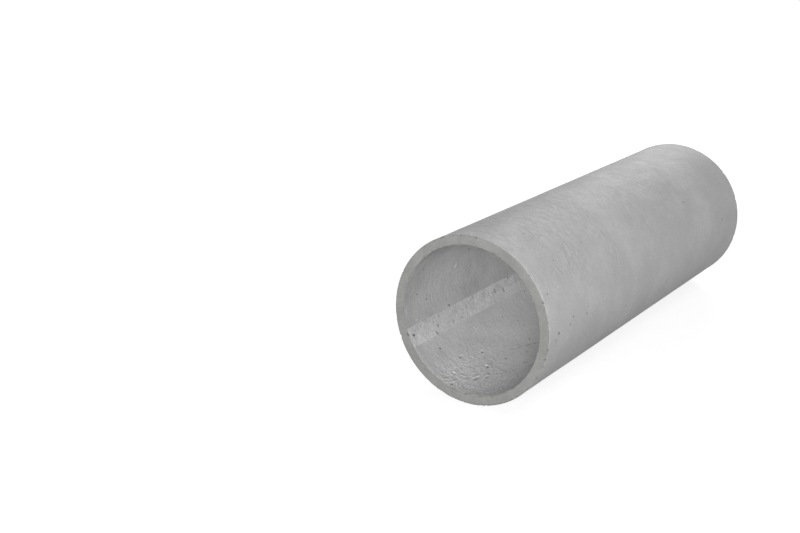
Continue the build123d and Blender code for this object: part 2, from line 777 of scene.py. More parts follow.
class FormTree(Graph):
    """A Geometry Nodes tree with named inputs, built in the script and run once as a modifier."""

    def __init__(self, name: str, values: dict[str, float | int], takes_geometry: bool) -> None:
        """Makes the empty tree and its inputs.

        Args:
            name: the tree's name.
            values: each input's name and value, a whole number or a length.
            takes_geometry: whether the tree works on what the modifiers before it made.
        """
        super().__init__(bpy.data.node_groups.new(name, "GeometryNodeTree"))
        self.values = values
        self.identifiers = {}
        interface = self.tree.interface
        interface.new_socket(name="Geometry", in_out="OUTPUT", socket_type="NodeSocketGeometry")
        if takes_geometry:
            interface.new_socket(name="Geometry", in_out="INPUT", socket_type="NodeSocketGeometry")
        for label, value in values.items():
            kind = "NodeSocketInt" if isinstance(value, int) else "NodeSocketFloat"
            socket = interface.new_socket(name=label, in_out="INPUT", socket_type=kind)
            self.identifiers[label] = socket.identifier
        self.source = self.tree.nodes.new("NodeGroupInput")

    def given(self, name: str) -> Socket:
        """The tree's own input of that name."""
        return self.source.outputs[name]

    def draw(self, low: float, high: float, purpose: Draw, further: int = 0) -> Socket:
        """Draws an even random number for each point.

        Args:
            low: the least that it can be.
            high: the most that it can be.
            purpose: what it is for, which moves the tree's seed on.
            further: moves the seed on further, where one purpose needs several draws.

        Returns:
            The number.
        """
        step = float(purpose.value + further)
        seed = self.add("ShaderNodeMath", {0: self.given("Seed"), 1: step}, operation="ADD")
        span = {"Min": low, "Max": high, "Seed": seed}
        return self.add("FunctionNodeRandomValue", span, data_type="FLOAT")

    def spokes(self) -> Socket:
        """Points straight away from the pipe's centre line.

        Returns:
            The direction, with a length of one.
        """
        place = self.add("GeometryNodeInputPosition")
        axis = self.add("ShaderNodeCombineXYZ", {"Z": self.given("Axis Height")})
        spoke = self.add("ShaderNodeVectorMath", {0: place, 1: axis}, operation="SUBTRACT")
        flat = self.add("ShaderNodeVectorMath", {0: spoke, 1: (0.0, 1.0, 1.0)}, operation="MULTIPLY")
        return self.add("ShaderNodeVectorMath", {0: flat}, operation="NORMALIZE")

    def facing(self) -> Socket:
        """Compares the way that a face looks with the way out from the centre line.

        Returns:
            One where it looks outwards, minus one inwards and nought along the pipe.
        """
        ways = {0: self.spokes(), 1: self.add("GeometryNodeInputNormal")}
        return self.add("ShaderNodeVectorMath", ways, "Value", operation="DOT_PRODUCT")

    def waves(self, size: str) -> Socket:
        """A soft noise whose features are as large as the input of that name."""
        scale = self.add("ShaderNodeMath", {0: 1.0, 1: self.given(size)}, operation="DIVIDE")
        return self.add("ShaderNodeTexNoise", {"Scale": scale, "Detail": 1.0}, "Fac")

    def clusters(self, share: float) -> Socket:
        """Soft patches of the Cluster Size that thin what is scattered down to a share between them."""
        ends = {**CLUSTER_SPAN, "To Min": share, "To Max": 1.0}
        return self.add("ShaderNodeMapRange", {"Value": self.waves("Cluster Size"), **ends})

    def radii(self, power: float) -> Socket:
        """Draws a radius from Smallest to Largest for each point.

        Args:
            power: how much rarer large ones are than small ones.

        Returns:
            The radius.
        """
        even = self.draw(0.0, 1.0, Draw.RADIUS)
        drawn = self.add("ShaderNodeMath", {0: even, 1: power}, operation="POWER")
        ends = {"To Min": self.given("Smallest"), "To Max": self.given("Largest")}
        return self.add("ShaderNodeMapRange", {"Value": drawn, **ends})

    def lump(self, unevenness: float, number: int, broken: float, segments: int = 8) -> Socket:
        """Makes an uneven ball of radius 1.

        Args:
            unevenness: how far its skin swings in and out.
            number: gives it a shape of its own.
            broken: how much painted shade the faces that it leaves carry.
            segments: how many sides it has, few where it is repeated often.

        Returns:
            The ball.
        """
        place = self.add("GeometryNodeInputPosition")
        sizes = {"Radius": 1.0, "Segments": segments, "Rings": segments // 2 + 1}
        ball = self.add("GeometryNodeMeshUVSphere", sizes)
        shift = (9.0 * number, 4.0, 7.0)  # a stretch of the noise for each ball
        moved = self.add("ShaderNodeVectorMath", {0: place, 1: shift}, operation="ADD")
        noise = self.add("ShaderNodeTexNoise", {"Vector": moved, **LUMP_NOISE}, "Fac")
        ends = {**NOISE_SPAN, "To Min": 1 - unevenness, "To Max": 1 + unevenness}
        swing = self.add("ShaderNodeMapRange", {"Value": noise, **ends})
        shaped = self.add("ShaderNodeVectorMath", {"Vector": place, "Scale": swing}, operation="SCALE")
        made = self.add("GeometryNodeSetPosition", {"Geometry": ball, "Position": shaped})
        return self.add(
            "GeometryNodeStoreNamedAttribute",
            {"Geometry": made, "Name": BREAK_SHADE_ATTRIBUTE, "Value": broken},
            data_type="FLOAT",
            domain="FACE",
        )

    def lumps(self, unevenness: float, broken: float) -> Socket:
        """Makes the uneven balls of radius 1 that scattered ones are picked from.

        Args:
            unevenness: how far their skin swings in and out.
            broken: how much painted shade the faces that they leave carry.

        Returns:
            The balls as instances.
        """
        balls = [self.lump(unevenness, number, broken) for number in range(LUMP_KINDS)]
        shapes = [self.add("GeometryNodeGeometryToInstance", {"Geometry": [ball]}) for ball in balls]
        return self.add("GeometryNodeJoinGeometry", {"Geometry": shapes})

    def close(self, piece: bpy.types.Object, geometry: Socket, material: bpy.types.Material) -> None:
        """Ends the tree in Realize Instances and Set Material, and adds it to a piece as a modifier.

        Args:
            piece: the object that carries the modifiers.
            geometry: what the tree has made.
            material: the material that it gets until its faces are sorted.
        """
        real = self.add("GeometryNodeRealizeInstances", {"Geometry": geometry})
        dressed = self.add("GeometryNodeSetMaterial", {"Geometry": real, "Material": material})
        self.add("NodeGroupOutput", {"Geometry": dressed})
        modifier = piece.modifiers.new(self.tree.name, "NODES")
        modifier.node_group = self.tree
        for label, value in self.values.items():
            modifier[self.identifiers[label]] = value


class Layer(Protocol):
    """The wall, or something that is worked into it."""

    def run_on(self, piece: bpy.types.Object, material: bpy.types.Material) -> None:
        """Adds the layer to a piece as a modifier.

        Args:
            piece: the object that carries the modifiers.
            material: the material that new faces start with.
        """


@dataclass
class PipeWall:
    """The cast wall: a rounded section carried round the bore, with the slight swell of a worn mould."""

    length: float = LENGTH
    outer_radius: float = OUTER_RADIUS
    bore_radius: float = 150 * MM
    outer_arris: float = 2.5 * MM
    bore_arris: float = 1.5 * MM
    cell: float = 6.2 * MM
    columns: int = 164
    arris_steps: int = 3
    swell: float = 0.7 * MM
    swell_size: float = 190 * MM
    ripple: float = 0.4 * MM
    ripple_size: float = 34 * MM
    bore_ripple: float = 1.7
    outer_ripple: float = 0.8
    strip: KeyStrip = KeyStrip()
    strip_step: float = 0.45 * MM
    bore_facing: tuple[float, float] = (-0.7, -0.95)
    rim_run: float = 30 * MM
    rim_share: float = 0.3

    def radius(self, side: Side) -> float:
        """The radius of the outside or of the bore."""
        return self.outer_radius if side is Side.OUTSIDE else self.bore_radius

    def arris(self, side: Side) -> float:
        """How far the rims of the outside or of the bore are rounded."""
        return self.outer_arris if side is Side.OUTSIDE else self.bore_arris

    def run_on(self, piece: bpy.types.Object, material: bpy.types.Material) -> None:
        """Makes the wall on a piece.

        Args:
            piece: the object that carries the modifiers.
            material: the material that the wall starts with.
        """
        form = FormTree(
            "pipe_wall",
            {
                "Length": self.length,
                "Wall": self.outer_radius - self.bore_radius,
                "Middle Radius": (self.outer_radius + self.bore_radius) / 2,
                "Axis Height": self.outer_radius,
                "Outer Arris": self.outer_arris,
                "Bore Arris": self.bore_arris,
                "Cell": self.cell,
                "Columns": self.columns,
                "Arris Steps": self.arris_steps,
                "Swell": self.swell,
                "Swell Size": self.swell_size,
                "Ripple": self.ripple,
                "Ripple Size": self.ripple_size,
                "Strip Step": self.strip_step,
                "Rim Run": self.rim_run,
            },
            takes_geometry=False,
        )
        path = form.add(
            "GeometryNodeCurvePrimitiveCircle",
            {"Resolution": form.given("Columns"), "Radius": form.given("Middle Radius")},
            mode="RADIUS",
        )
        tube = form.add("GeometryNodeCurveToMesh", {"Curve": path, "Profile Curve": self.section(form)})
        laid = form.add(
            "GeometryNodeTransform",
            {
                "Geometry": tube,
                "Translation": form.add("ShaderNodeCombineXYZ", {"Z": form.given("Axis Height")}),
                "Rotation": (0.0, math.radians(90), 0.0),
            },
        )
        form.close(piece, self.uneven(form, laid), material)

    def section(self, form: FormTree) -> Socket:
        """Draws the wall's section: X runs outwards and Y along the pipe.

        Args:
            form: the wall's tree.

        Returns:
            The section as a closed curve, divided about as finely as the cell size says.
        """
        oblong = form.add(
            "GeometryNodeCurvePrimitiveQuadrilateral",
            {"Width": form.given("Wall"), "Height": form.given("Length")},
            mode="RECTANGLE",
        )
        place = form.add("GeometryNodeInputPosition")
        across = form.add("ShaderNodeSeparateXYZ", {"Vector": place}, "X")
        outside = form.add("FunctionNodeCompare", {"A": across, "B": 0.0}, operation="GREATER_THAN")
        rounding = form.add(
            "GeometryNodeSwitch",
            {"Switch": outside, "False": form.given("Bore Arris"), "True": form.given("Outer Arris")},
            input_type="FLOAT",
        )
        rounded = form.add(
            "GeometryNodeFilletCurve",
            {"Curve": oblong, "Count": form.given("Arris Steps"), "Radius": rounding},
            mode="POLY",
        )
        step = {"Point Index": form.add("GeometryNodeInputIndex"), "Offset": 1}
        follower = form.add("GeometryNodeOffsetPointInCurve", step, "Point Index")
        ahead = form.add(
            "GeometryNodeFieldAtIndex",
            {"Value": place, "Index": follower},
            data_type="FLOAT_VECTOR",
            domain="POINT",
        )
        run = form.add("ShaderNodeVectorMath", {0: place, 1: ahead}, "Value", operation="DISTANCE")
        pieces = form.add("ShaderNodeMath", {0: run, 1: form.given("Cell")}, operation="DIVIDE")
        cuts = form.add("FunctionNodeFloatToInt", {"Float": pieces}, rounding_mode="FLOOR")
        return form.add("GeometryNodeSubdivideCurve", {"Curve": rounded, "Cuts": cuts})

    def uneven(self, form: FormTree, wall: Socket) -> Socket:
        """Sinks the surface a little here and there, always into the concrete.

        The bore ripples more than the outside, the rims less, and the key strip stands proud of the bore.

        Args:
            form: the wall's tree.
            wall: the true wall.

        Returns:
            The uneven wall.
        """
        place = form.add("GeometryNodeInputPosition")
        side = form.facing()
        rippled = form.add(
            "ShaderNodeMath", {0: form.waves("Ripple Size"), 1: form.given("Ripple")}, operation="MULTIPLY"
        )
        ends = {"From Min": -1.0, "To Min": self.bore_ripple, "To Max": self.outer_ripple}
        share = form.add("ShaderNodeMapRange", {"Value": side, **ends})
        rippled = form.add("ShaderNodeMath", {0: rippled, 1: share}, operation="MULTIPLY")
        sink = form.add(
            "ShaderNodeMath",
            {0: form.waves("Swell Size"), 1: form.given("Swell"), 2: rippled},
            operation="MULTIPLY_ADD",
        )
        first, last = self.bore_facing
        bore = form.add("ShaderNodeMapRange", {"Value": side, "From Min": first, "From Max": last})
        beside = form.add("ShaderNodeMath", {0: 1.0, 1: self.strip.mask(form, place)}, operation="SUBTRACT")
        lowered = form.add("ShaderNodeMath", {0: beside, 1: bore}, operation="MULTIPLY")
        sink = form.add(
            "ShaderNodeMath", {0: lowered, 1: form.given("Strip Step"), 2: sink}, operation="MULTIPLY_ADD"
        )
        along = form.add("ShaderNodeSeparateXYZ", {"Vector": place}, "X")
        reach = form.add("ShaderNodeMath", {0: along}, operation="ABSOLUTE")
        rim = form.add("ShaderNodeMath", {0: form.given("Length"), 1: 0.5}, operation="MULTIPLY")
        inside = form.add("ShaderNodeMath", {0: rim, 1: reach}, operation="SUBTRACT")
        ends = {"From Max": form.given("Rim Run"), "To Min": -self.rim_share, "To Max": -1.0}
        evened = form.add(
            "ShaderNodeMapRange", {"Value": inside, **ends}, interpolation_type="SMOOTHSTEP"
        )
        inward = form.add("ShaderNodeMath", {0: sink, 1: evened}, operation="MULTIPLY")
        normal = form.add("GeometryNodeInputNormal")
        offset = form.add("ShaderNodeVectorMath", {"Vector": normal, "Scale": inward}, operation="SCALE")
        return form.add("GeometryNodeSetPosition", {"Geometry": wall, "Offset": offset})


@dataclass
class SurfaceMarks:
    """What voids and dabs share: uneven balls scattered over the wall and squashed against it."""

    axis_height: float
    spacing: float
    density: float
    smallest: float
    largest: float
    cluster_size: float
    seed: int
    stretch: tuple[float, float] = (0.8, 1.45)
    unevenness: float = 0.35

    def tree(self, name: str) -> FormTree:
        """Makes the marks' tree with its inputs.

        Args:
            name: the tree's name.

        Returns:
            The tree, with nothing in it yet.
        """
        values = {
            "Axis Height": self.axis_height,
            "Spacing": self.spacing,
            "Density": self.density,
            "Smallest": self.smallest,
            "Largest": self.largest,
            "Cluster Size": self.cluster_size,
            "Seed": self.seed,
        }
        return FormTree(name, values, takes_geometry=True)

    def scatter(
        self, form: FormTree, share: Socket, power: float, depth: tuple[float, float], broken: float
    ) -> Socket:
        """Scatters balls over the wall, each turned and stretched a little differently.

        Args:
            form: the marks' tree.
            share: how thickly they lie, from nought to one.
            power: how much rarer large ones are than small ones.
            depth: the least and greatest share of its radius that a ball reaches along the normal.
            broken: how much painted shade their faces carry.

        Returns:
            The balls as instances.
        """
        inputs = {
            "Mesh": form.given("Geometry"),
            "Distance Min": form.given("Spacing"),
            "Density Max": form.given("Density"),
            "Density Factor": share,
            "Seed": form.given("Seed"),
        }
        points = form.add("GeometryNodeDistributePointsOnFaces", inputs, distribute_method="POISSON")
        upright = next(s for s in points.node.outputs if s.name == "Rotation")
        radius = form.radii(power)
        stretch = form.draw(*self.stretch, Draw.STRETCH)
        flat = form.draw(*depth, Draw.DEPTH)
        size = form.add(
            "ShaderNodeCombineXYZ",
            {
                "X": form.add("ShaderNodeMath", {0: radius, 1: stretch}, operation="MULTIPLY"),
                "Y": form.add("ShaderNodeMath", {0: radius, 1: stretch}, operation="DIVIDE"),
                "Z": form.add("ShaderNodeMath", {0: radius, 1: flat}, operation="MULTIPLY"),
            },
        )
        spin = form.add("ShaderNodeCombineXYZ", {"Z": form.draw(0.0, math.tau, Draw.SPIN)})
        turned = form.add(
            "FunctionNodeRotateRotation",
            {"Rotation": upright, "Rotate By": form.add("FunctionNodeEulerToRotation", {0: spin})},
            rotation_space="LOCAL",
        )
        return form.add(
            "GeometryNodeInstanceOnPoints",
            {
                "Points": points,
                "Instance": form.lumps(self.unevenness, broken),
                "Pick Instance": True,
                "Instance Index": form.draw(0.0, LUMP_KINDS - 0.01, Draw.SHAPE),
                "Rotation": turned,
                "Scale": size,
            },
        )


@dataclass
class AirVoids(SurfaceMarks):
    """Small open air voids, thick in the bore and thin on the outside, gathered in loose patches.

    On the outside they lie on the far side only, because those of the near side are placed one by one.
    """

    bore_share: float = 0.6
    far_side_share: float = 0.15
    far_side_run: float = 30 * MM
    end_share: float = 0.2
    least_share: float = 0.12
    rarity: float = 3.5
    depth: tuple[float, float] = (0.55, 1.0)

    def run_on(self, piece: bpy.types.Object, material: bpy.types.Material) -> None:
        """Cuts the voids into a piece.

        Args:
            piece: the object that carries the modifiers.
            material: the material that the cut faces start with.
        """
        form = self.tree("air_voids")
        crowd = form.clusters(self.least_share)
        share = form.add("ShaderNodeMath", {0: self.share(form), 1: crowd}, operation="MULTIPLY")
        # the voids' faces carry the whole painted shade
        voids = self.scatter(form, share, self.rarity, self.depth, SHADED_HOLLOW)
        cut = form.add(
            "GeometryNodeMeshBoolean",
            {"Mesh 1": form.given("Geometry"), "Mesh 2": [voids]},
            operation="DIFFERENCE",
            solver="MANIFOLD",
        )
        form.close(piece, cut, material)

    def share(self, form: FormTree) -> Socket:
        """Weighs the three kinds of face against each other.

        Args:
            form: the voids' tree.

        Returns:
            How thickly the voids lie, up to one.
        """
        side = form.facing()
        across = form.add("ShaderNodeSeparateXYZ", {"Vector": form.add("GeometryNodeInputPosition")}, "Y")
        ends = {"From Min": 0.0, "From Max": self.far_side_run, "To Max": self.far_side_share}
        far_side = form.add("ShaderNodeMapRange", {"Value": across, **ends})
        ends = {"To Min": self.end_share, "To Max": far_side}
        outward = form.add("ShaderNodeMapRange", {"Value": side, **ends})
        ends = {"From Max": -1.0, "To Max": self.bore_share - self.end_share}
        inward = form.add("ShaderNodeMapRange", {"Value": side, **ends})
        return form.add("ShaderNodeMath", {0: outward, 1: inward}, operation="ADD")


@dataclass
class CoreDabs(SurfaceMarks):
    """Low lumps of cement paste left standing in the bore where the core let go, most on the key strip."""

    strip: KeyStrip = KeyStrip()
    reach: float = 482 * MM
    bore_facing: float = -0.9
    least_share: float = 0.2
    rarity: float = 2.5
    depth: tuple[float, float] = (0.07, 0.15)

    def run_on(self, piece: bpy.types.Object, material: bpy.types.Material) -> None:
        """Adds the dabs to a piece.

        Args:
            piece: the object that carries the modifiers.
            material: the material that the dabs start with.
        """
        form = self.tree("core_dabs")
        place = form.add("GeometryNodeInputPosition")
        side = {"A": form.facing(), "B": self.bore_facing}
        inside = form.add("FunctionNodeCompare", side, operation="LESS_THAN")
        patches = {0: form.clusters(self.least_share), 1: self.strip.mask(form, place)}
        crowd = form.add("ShaderNodeMath", patches, operation="MAXIMUM")
        along = form.add("ShaderNodeSeparateXYZ", {"Vector": place}, "X")
        reach = form.add("ShaderNodeMath", {0: along}, operation="ABSOLUTE")
        clear = form.add("FunctionNodeCompare", {"A": reach, "B": self.reach}, operation="LESS_THAN")
        crowd = form.add("ShaderNodeMath", {0: crowd, 1: clear}, operation="MULTIPLY")
        share = form.add("ShaderNodeMath", {0: inside, 1: crowd}, operation="MULTIPLY")
        dabs = self.scatter(form, share, self.rarity, self.depth, WHOLE)
        joined = form.add(
            "GeometryNodeMeshBoolean",
            {1: [form.given("Geometry"), dabs]},
            operation="UNION",
            solver="MANIFOLD",
        )
        form.close(piece, joined, material)


@dataclass(frozen=True)
class Mark:
    """One mark that stands where the real pipe has it.

    The place is given by its distance from the near end and its angle from the top towards -Y, in degrees.
    The depth is the share of its radius that it reaches along the normal. The stretch draws it out along
    the pipe, or round it if below one, and the lean turns it on the spot.
    """

    along: float
    angle: float
    radius: float
    depth: float = 0.8
    stretch: float = 1.1
    lean: float = 0.0


# The largest voids of the side that faces the camera, most of them low down by the near end
OUTSIDE_VOIDS = (
    Mark(42 * MM, 90.6, 3.2 * MM),
    Mark(90 * MM, 89.4, 2.3 * MM),
    Mark(159 * MM, 88.8, 2.4 * MM),
    Mark(102 * MM, 85.2, 2.0 * MM),
    Mark(165 * MM, 84.6, 1.5 * MM),
    Mark(30 * MM, 94.2, 1.8 * MM),
    Mark(24 * MM, 63.0, 1.8 * MM),
    Mark(101 * MM, 46.2, 1.5 * MM, 0.5),
    Mark(142 * MM, 56.8, 1.3 * MM, 0.5),
    Mark(231 * MM, 44.0, 1.3 * MM, 0.5),
    Mark(354 * MM, 102.9, 1.7 * MM),
    Mark(543 * MM, 109.5, 1.9 * MM),
    Mark(714 * MM, 53.4, 2.0 * MM, 0.6),
    Mark(894 * MM, 81.3, 2.4 * MM, 0.6),
)
# Voids in the bore's far half, cracks that run round the key strip, and hollows torn open below the dabs
BORE_VOIDS = (
    Mark(18 * MM, -114.2, 3.0 * MM),
    Mark(256 * MM, -82.4, 2.6 * MM),
    Mark(49 * MM, -85.1, 2.0 * MM),
    Mark(84 * MM, -92.6, 2.4 * MM),
    Mark(50 * MM, -63.4, 2.2 * MM),
    Mark(158 * MM, -100.2, 2.2 * MM, 0.5, 0.6),
    Mark(288 * MM, -100.3, 2.6 * MM, 0.4, 0.5),
    Mark(409 * MM, -108.0, 3.0 * MM),
    Mark(92 * MM, -120.6, 3.0 * MM, 0.35, 0.45, 12.0),
    Mark(117 * MM, -109.6, 2.2 * MM, 0.3, 0.5, 8.0),
    Mark(160 * MM, -118.7, 2.3 * MM, 0.3, 0.42, 6.0),
    Mark(194 * MM, -119.6, 2.0 * MM, 0.3, 0.45),
    Mark(343 * MM, -112.9, 3.0 * MM, 0.35, 0.5, 10.0),
    Mark(376 * MM, -115.1, 3.4 * MM, 0.35, 0.45, 8.0),
    Mark(137 * MM, -166.6, 3.6 * MM, 0.45, 1.7, -14.0),
    Mark(73 * MM, -170.6, 3.4 * MM, 0.45, 2.4, -16.0),
    Mark(96 * MM, -174.8, 2.6 * MM, 0.45, 1.8, -16.0),
    Mark(108 * MM, -147.0, 2.8 * MM, 0.45, 2.0, -14.0),
    Mark(174 * MM, -152.4, 2.8 * MM, 0.45, 1.9, -14.0),
    Mark(12 * MM, -162.6, 2.6 * MM, 0.45, 1.6, -10.0),
    Mark(50 * MM, -156.4, 2.2 * MM, 0.45, 1.6, -12.0),
    Mark(214 * MM, -184.1, 3.2 * MM, 0.4, 2.6, -18.0),
    Mark(200 * MM, -192.1, 3.4 * MM, 0.4, 2.8, -18.0),
    Mark(253 * MM, -163.6, 2.8 * MM, 0.35, 3.4, -18.0),
    Mark(274 * MM, -166.3, 3.0 * MM, 0.35, 3.4, -18.0),
    Mark(298 * MM, -168.6, 3.2 * MM, 0.35, 3.6, -20.0),
    Mark(322 * MM, -171.8, 3.2 * MM, 0.35, 3.6, -20.0),
)
# Dabs of cement paste low in the bore, each beside its hollow
BORE_DABS = (
    Mark(149 * MM, -164.4, 7 * MM, 0.14, 1.5, -14.0),
    Mark(85 * MM, -168.4, 7 * MM, 0.15, 1.9, -16.0),
    Mark(106 * MM, -172.8, 5.5 * MM, 0.15, 1.7, -16.0),
    Mark(118 * MM, -144.9, 5.5 * MM, 0.14, 1.8, -14.0),
    Mark(184 * MM, -150.4, 5.5 * MM, 0.14, 1.8, -14.0),
    Mark(24 * MM, -160.6, 6 * MM, 0.13, 1.6, -10.0),
    Mark(58 * MM, -154.4, 5 * MM, 0.13, 1.6, -12.0),
    Mark(268 * MM, -164.0, 7 * MM, 0.14, 2.0, -18.0),
)


@dataclass
class PlacedMarks:
    """Voids or dabs that stand where the real pipe has them, sunk a little below the true face."""

    name: str
    wall: PipeWall
    side: Side
    sunk: float
    marks: tuple[Mark, ...]
    raised: bool = False
    unevenness: float = 0.35
    segments: int = 14

    def run_on(self, piece: bpy.types.Object, material: bpy.types.Material) -> None:
        """Cuts the voids into a piece, or sets the dabs on it.

        Args:
            piece: the object that carries the modifiers.
            material: the material that the marks start with.
        """
        radius = self.wall.radius(self.side) - self.side.value * self.sunk
        form = FormTree(self.name, {"Radius": radius}, takes_geometry=True)
        wall = form.given("Geometry")
        balls = [self.ball(form, mark, number) for number, mark in enumerate(self.marks)]
        inputs = {1: [wall, *balls]} if self.raised else {"Mesh 1": wall, "Mesh 2": balls}
        made = form.add(
            "GeometryNodeMeshBoolean",
            inputs,
            operation="UNION" if self.raised else "DIFFERENCE",
            solver="MANIFOLD",
        )
        form.close(piece, made, material)

    def ball(self, form: FormTree, mark: Mark, number: int) -> Socket:
        """Sets one uneven ball on the wall.

        Args:
            form: the marks' tree.
            mark: where it stands and how large it is.
            number: its place in the list, which gives it a shape of its own.

        Returns:
            The ball.
        """
        angle = math.radians(mark.angle)
        spoke = Vector((0.0, -math.sin(angle), math.cos(angle)))
        out = {0: tuple(spoke), "Scale": form.given("Radius")}
        where = form.add("ShaderNodeVectorMath", out, operation="SCALE")
        centre = (mark.along - self.wall.length / 2, 0.0, self.wall.outer_radius)
        axis = Vector((1.0, 0.0, 0.0))
        normal = self.side.value * spoke
        upright = Matrix((axis, normal.cross(axis), normal)).transposed()
        turn = (upright @ Matrix.Rotation(math.radians(mark.lean), 3, "Z")).to_euler()
        # a placed void's faces carry the whole painted shade, a dab's none
        broken = WHOLE if self.raised else SHADED_HOLLOW
        return form.add(
            "GeometryNodeTransform",
            {
                "Geometry": form.lump(self.unevenness, number, broken, self.segments),
                "Translation": form.add("ShaderNodeVectorMath", {0: where, 1: centre}, operation="ADD"),
                "Rotation": tuple(turn),
                "Scale": (mark.radius * mark.stretch, mark.radius / mark.stretch, mark.radius * mark.depth),
            },
        )


@dataclass
class RimChips:
    """Small knocks along the four rims, most where the pipe is set down, with stretches left sharp."""

    wall: PipeWall
    places: int = 190
    smallest: float = 1.6 * MM
    largest: float = 6.5 * MM
    rarity: float = 2.6
    reach: tuple[float, float] = (0.34, 0.6)
    stretch: tuple[float, float] = (0.8, 1.35)
    unevenness: float = 0.4
    cluster_size: float = 80 * MM
    least_share: float = 0.15
    often: float = 0.8
    set_down: tuple[float, float] = (60 * MM, 12 * MM)
    set_down_share: float = 0.85
    set_down_often: float = 0.6
    outer_wear: float = 5.4 * MM
    bore_wear: float = 3.24 * MM
    seed: int = 31

    def run_on(self, piece: bpy.types.Object, material: bpy.types.Material) -> None:
        """Knocks the chips out of a piece.

        Args:
            piece: the object that carries the modifiers.
            material: the material that the cut faces start with.
        """
        form = FormTree(
            "rim_chips",
            {
                "Axis Height": self.wall.outer_radius,
                "Places": self.places,
                "Smallest": self.smallest,
                "Largest": self.largest,
                "Cluster Size": self.cluster_size,
                "Seed": self.seed,
            },
            takes_geometry=True,
        )
        rims = [self.rim(form, end, side) for end in End for side in Side]
        cut = form.add(
            "GeometryNodeMeshBoolean",
            {"Mesh 1": form.given("Geometry"), "Mesh 2": rims},
            operation="DIFFERENCE",
            solver="MANIFOLD",
        )
        form.close(piece, cut, material)

    def rim(self, form: FormTree, end: End, side: Side) -> Socket:
        """Scatters chips round one rim.

        Args:
            form: the chips' tree.
            end: the end of the pipe that the rim is on.
            side: the face that the rim belongs to.

        Returns:
            The cutting shapes.
        """
        inset = (1 - math.sqrt(0.5)) * self.wall.arris(side)
        step = 10 * end.value + 3 * side.value  # draws of its own for each rim
        circle = form.add(
            "GeometryNodeCurvePrimitiveCircle",
            {"Resolution": form.given("Places"), "Radius": self.wall.radius(side) - side.value * inset},
            mode="RADIUS",
        )
        laid = form.add(
            "GeometryNodeTransform",
            {
                "Geometry": form.add("GeometryNodeCurveToPoints", {"Curve": circle}, mode="EVALUATED"),
                "Translation": (end.value * (self.wall.length / 2 - inset), 0.0, self.wall.outer_radius),
                "Rotation": (0.0, math.radians(90), 0.0),
            },
        )
        height = form.add("ShaderNodeSeparateXYZ", {"Vector": form.add("GeometryNodeInputPosition")}, "Z")
        high, low = self.set_down
        ends = {"From Min": high, "From Max": low, "To Max": self.set_down_share}
        set_down = form.add("ShaderNodeMapRange", {"Value": height, **ends})
        wear = self.outer_wear if side is Side.OUTSIDE else self.bore_wear
        least = form.add("ShaderNodeMath", {0: set_down, 1: wear}, operation="MULTIPLY")
        size = form.add("ShaderNodeMath", {0: form.radii(self.rarity), 1: least}, operation="MAXIMUM")
        way = {"Vector": form.spokes(), "Scale": float(side.value)}
        spoke = form.add("ShaderNodeVectorMath", way, operation="SCALE")
        endwise = (float(end.value), 0.0, 0.0)
        outward = form.add("ShaderNodeVectorMath", {0: spoke, 1: endwise}, operation="ADD")
        share = form.draw(*self.reach, Draw.CHIP_REACH, step)
        reach = form.add("ShaderNodeMath", {0: size, 1: share}, operation="MULTIPLY")
        push = form.add("ShaderNodeVectorMath", {"Vector": outward, "Scale": reach}, operation="SCALE")
        patches = {0: form.clusters(self.least_share), 1: self.often}
        often = form.add("ShaderNodeMath", patches, operation="MULTIPLY")
        more = form.add("ShaderNodeMath", {0: set_down, 1: self.set_down_often}, operation="MULTIPLY")
        often = form.add("ShaderNodeMath", {0: often, 1: more}, operation="MAXIMUM")
        luck = form.draw(0.0, 1.0, Draw.CHIP_KEPT, step)
        kept = form.add("FunctionNodeCompare", {"A": luck, "B": often}, operation="LESS_THAN")
        turns = {
            key: form.draw(0.0, math.tau, Draw.CHIP_TURN, step + place) for place, key in enumerate("XYZ")
        }
        stretch = form.draw(*self.stretch, Draw.CHIP_STRETCH, step)
        longer = form.add("ShaderNodeMath", {0: size, 1: stretch}, operation="MULTIPLY")
        # the chips' faces carry a quarter of the painted shade
        return form.add(
            "GeometryNodeInstanceOnPoints",
            {
                "Points": form.add("GeometryNodeSetPosition", {"Geometry": laid, "Offset": push}),
                "Selection": kept,
                "Instance": form.lumps(self.unevenness, CHIPPED),
                "Pick Instance": True,
                "Instance Index": form.draw(0.0, LUMP_KINDS - 0.01, Draw.CHIP_SHAPE, step),
                "Rotation": form.add(
                    "FunctionNodeEulerToRotation", {0: form.add("ShaderNodeCombineXYZ", turns)}
                ),
                "Scale": form.add("ShaderNodeCombineXYZ", {"X": longer, "Y": size, "Z": size}),
            },
        )


@dataclass
class LooseFlakes:
    """Takes away the loose flakes that two cuts can leave between them."""

    least_faces: int = 200

    def run_on(self, piece: bpy.types.Object, material: bpy.types.Material) -> None:
        """Clears a piece of its flakes.

        Args:
            piece: the object that carries the modifiers.
            material: the material that the piece keeps for now.
        """
        form = FormTree("loose_flakes", {"Least Faces": self.least_faces}, takes_geometry=True)
        shell = form.add("GeometryNodeInputMeshIsland", out="Island Index")
        faces = form.add(
            "GeometryNodeAccumulateField", {"Value": 1.0, "Group ID": shell}, "Total", domain="FACE"
        )
        loose = form.add(
            "FunctionNodeCompare", {"A": faces, "B": form.given("Least Faces")}, operation="LESS_THAN"
        )
        kept = form.add(
            "GeometryNodeDeleteGeometry",
            {"Geometry": form.given("Geometry"), "Selection": loose},
            domain="FACE",
        )
        form.close(piece, kept, material)


